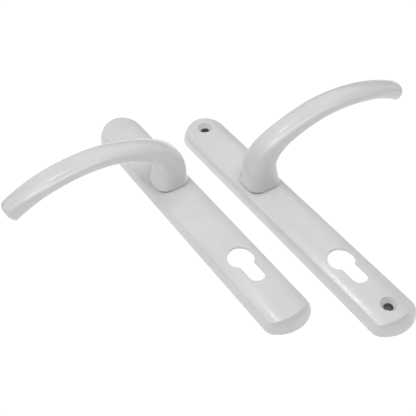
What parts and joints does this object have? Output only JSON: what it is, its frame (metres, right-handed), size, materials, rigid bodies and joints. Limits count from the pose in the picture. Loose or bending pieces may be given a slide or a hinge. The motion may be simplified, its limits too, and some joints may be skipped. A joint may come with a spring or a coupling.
{
  "type": "lever door handle pair",
  "caption": "Matched inside and outside lever door handles on long narrow backplates, each with a euro-profile cut-out and a sprung lever, laid out side by side.",
  "frame": {"origin": "the inside handle's spindle axis, in the plane of both backplates' backs", "axes": "+X along the inside lever, away from its backplate; +Y up the door, along the backplates; +Z out of the door, from the backplates' backs to the levers"},
  "size_m": [0.2987, 0.2825, 0.0631],
  "materials": {
    "white_powder_coat": "gloss white powder coat on a zinc die casting",
    "nylon": "moulded black nylon",
    "zinc_plated_steel": "bright zinc-plated steel",
    "spring_steel": "oiled drawn spring steel",
    "brass": "turned brass"
  },
  "bodies": {
    "inside_plate": {"inside_backplate": "white_powder_coat", "inside_bearing_bush": "nylon", "inside_spring_cup": "nylon", "inside_return_spring": "spring_steel", "inside_cassette_cover": "zinc_plated_steel", "inside_thrust_washer": "zinc_plated_steel", "inside_cassette_screws": "zinc_plated_steel"},
    "inside_handle": {"inside_lever": "white_powder_coat", "inside_drive_cam": "zinc_plated_steel", "inside_retaining_ring": "spring_steel"},
    "outside_plate": {"outside_backplate": "white_powder_coat", "outside_bearing_bush": "nylon", "outside_spring_cup": "nylon", "outside_return_spring": "spring_steel", "outside_cassette_cover": "zinc_plated_steel", "outside_thrust_washer": "zinc_plated_steel", "outside_cassette_screws": "zinc_plated_steel", "outside_threaded_inserts": "brass"},
    "outside_handle": {"outside_lever": "white_powder_coat", "outside_drive_cam": "zinc_plated_steel", "outside_retaining_ring": "spring_steel"}
  },
  "joints": [
    {"name": "inside_lever_turn", "type": "hinge", "parent": "inside_plate", "child": "inside_handle", "pos_m": [0, 0, 0], "axis": [0, 0, 1], "range_deg": [-45, 45], "stiffness_Nm_per_rad": 1.2, "deforming": ["inside_return_spring"]},
    {"name": "outside_handle_lift", "type": "slide", "parent": "inside_plate", "child": "outside_plate", "axis": [0, 0, 1], "range_m": [0, 0.12]},
    {"name": "outside_lever_turn", "type": "hinge", "parent": "outside_plate", "child": "outside_handle", "pos_m": [-0.0538, 0.0385, 0], "axis": [0, 0, 1], "range_deg": [-45, 45], "stiffness_Nm_per_rad": 1.2, "deforming": ["outside_return_spring"]}
  ]
}
